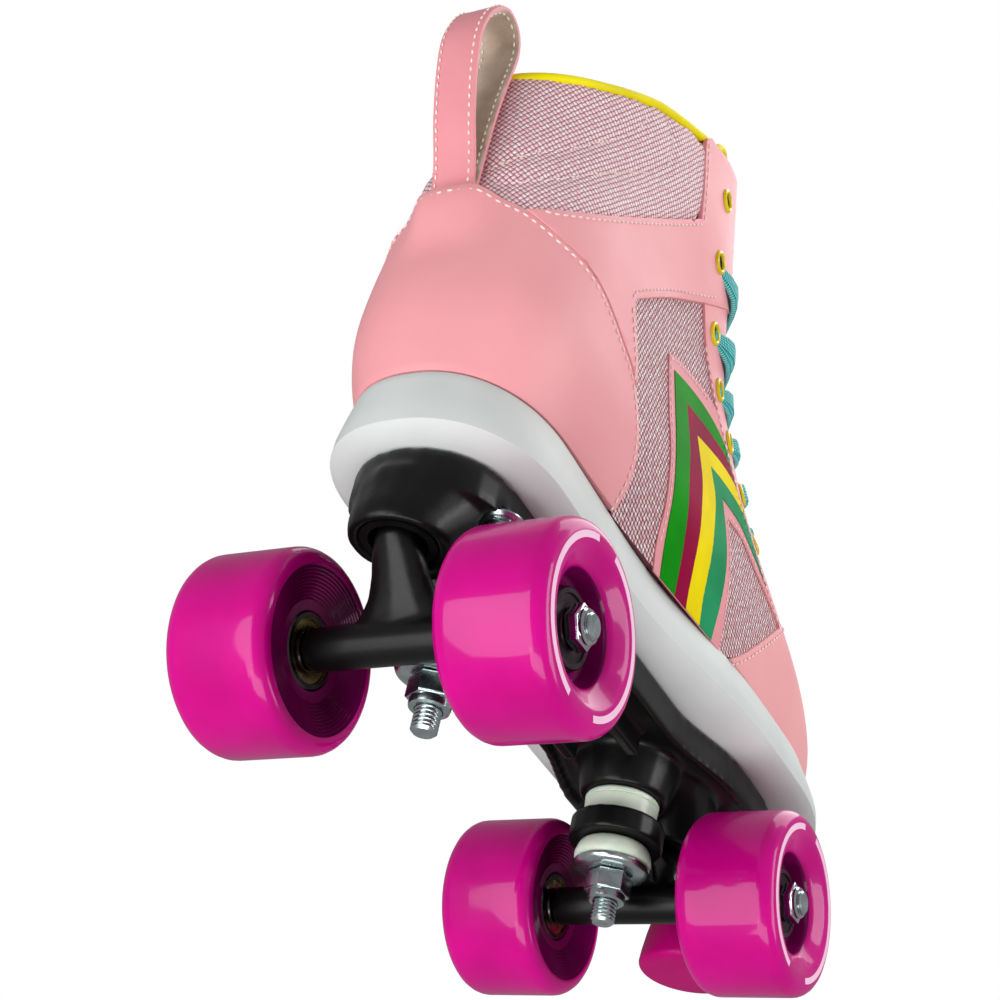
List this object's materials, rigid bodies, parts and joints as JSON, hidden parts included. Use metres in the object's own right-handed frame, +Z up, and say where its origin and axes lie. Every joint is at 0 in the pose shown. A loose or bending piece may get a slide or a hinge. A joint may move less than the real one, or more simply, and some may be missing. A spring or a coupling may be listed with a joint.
{
  "type": "quad roller skate",
  "caption": "Quad roller skate with a laced high-top boot, cup sole, moulded plate, two cushioned steering trucks, free-spinning wheels and an adjustable toe stop.",
  "frame": {"origin": "on the ground the wheels stand on, under the middle of the skate's overall box", "axes": "+Z up, +Y towards the toe, +X to the skate's right, along the axles"},
  "size_m": [0.1164, 0.298, 0.2858],
  "materials": {
    "black_nylon": "satin moulded nylon",
    "zinc_steel": "zinc plated",
    "chrome_steel": "polished",
    "magenta_urethane": "gloss cast polyurethane",
    "magenta_rubber": "satin",
    "white_cushion": "satin urethane",
    "bearing_steel": "bronze tinted shields",
    "pink_synthetic": "smooth synthetic leather",
    "pink_mesh": "open woven mesh",
    "white_rubber": "satin",
    "beige_lining": "brushed",
    "yellow_webbing": "woven piping",
    "teal_lace": "flat knitted"
  },
  "bodies": {
    "boot": {"plate": "black_nylon", "pivot_cup_front": "white_cushion", "kingpin_front": "zinc_steel", "kingpin_nut_front": "zinc_steel", "cushion_retainer_front": "zinc_steel", "lower_cushion_front": "white_cushion", "upper_cushion_front": "white_cushion", "plate_bolt_front_right": "zinc_steel", "plate_nut_front_right": "zinc_steel", "plate_bolt_front_left": "zinc_steel", "plate_nut_front_left": "zinc_steel", "pivot_cup_rear": "white_cushion", "kingpin_rear": "zinc_steel", "kingpin_nut_rear": "zinc_steel", "cushion_retainer_rear": "zinc_steel", "lower_cushion_rear": "white_cushion", "upper_cushion_rear": "white_cushion", "plate_bolt_rear_right": "zinc_steel", "plate_nut_rear_right": "zinc_steel", "plate_bolt_rear_left": "zinc_steel", "plate_nut_rear_left": "zinc_steel", "toe_stop_nut": "zinc_steel", "cup_sole": "white_rubber", "insole": "beige_lining", "heel_counter": "pink_synthetic", "toe_cap": "pink_synthetic", "quarter_right": "pink_synthetic", "quarter_left": "pink_synthetic", "pull_loop": "pink_synthetic", "padded_collar": "pink_mesh", "tongue": "pink_mesh", "collar_binding": "yellow_webbing", "laces": "teal_lace"},
    "front_truck": {"hanger_front": "black_nylon", "axle_front": "zinc_steel", "axle_nut_front_right": "chrome_steel", "axle_nut_front_left": "chrome_steel"},
    "front_right_wheel": {"wheel_front_right": "magenta_urethane", "inner_bearing_front_right": "bearing_steel", "outer_bearing_front_right": "bearing_steel", "bearing_spacer_front_right": "zinc_steel"},
    "front_left_wheel": {"wheel_front_left": "magenta_urethane", "inner_bearing_front_left": "bearing_steel", "outer_bearing_front_left": "bearing_steel", "bearing_spacer_front_left": "zinc_steel"},
    "rear_truck": {"hanger_rear": "black_nylon", "axle_rear": "zinc_steel", "axle_nut_rear_right": "chrome_steel", "axle_nut_rear_left": "chrome_steel"},
    "rear_right_wheel": {"wheel_rear_right": "magenta_urethane", "inner_bearing_rear_right": "bearing_steel", "outer_bearing_rear_right": "bearing_steel", "bearing_spacer_rear_right": "zinc_steel"},
    "rear_left_wheel": {"wheel_rear_left": "magenta_urethane", "inner_bearing_rear_left": "bearing_steel", "outer_bearing_rear_left": "bearing_steel", "bearing_spacer_rear_left": "zinc_steel"},
    "toe_stop": {"toe_stop_pad": "magenta_rubber", "toe_stop_stem": "zinc_steel"}
  },
  "joints": [
    {"name": "front_truck_steer", "type": "hinge", "parent": "boot", "child": "front_truck", "pos_m": [0, 0.0746, 0.06], "axis": [0, 0.8944, 0.4472], "range_deg": [-8, 8], "stiffness_Nm_per_rad": 20, "deforming": ["upper_cushion_front", "lower_cushion_front"]},
    {"name": "front_right_wheel_spin", "type": "hinge", "parent": "front_truck", "child": "front_right_wheel", "pos_m": [0.0415, 0.0626, 0.029], "axis": [1, 0, 0], "continuous": true},
    {"name": "front_left_wheel_spin", "type": "hinge", "parent": "front_truck", "child": "front_left_wheel", "pos_m": [-0.0415, 0.0626, 0.029], "axis": [1, 0, 0], "continuous": true},
    {"name": "rear_truck_steer", "type": "hinge", "parent": "boot", "child": "rear_truck", "pos_m": [0, -0.1134, 0.06], "axis": [0, -0.8944, 0.4472], "range_deg": [-8, 8], "stiffness_Nm_per_rad": 20, "deforming": ["upper_cushion_rear", "lower_cushion_rear"]},
    {"name": "rear_right_wheel_spin", "type": "hinge", "parent": "rear_truck", "child": "rear_right_wheel", "pos_m": [0.0415, -0.1014, 0.029], "axis": [1, 0, 0], "continuous": true},
    {"name": "rear_left_wheel_spin", "type": "hinge", "parent": "rear_truck", "child": "rear_left_wheel", "pos_m": [-0.0415, -0.1014, 0.029], "axis": [1, 0, 0], "continuous": true},
    {"name": "toe_stop_height", "type": "slide", "parent": "boot", "child": "toe_stop", "axis": [0, 0, 1], "range_m": [-0.006, 0.003]}
  ]
}
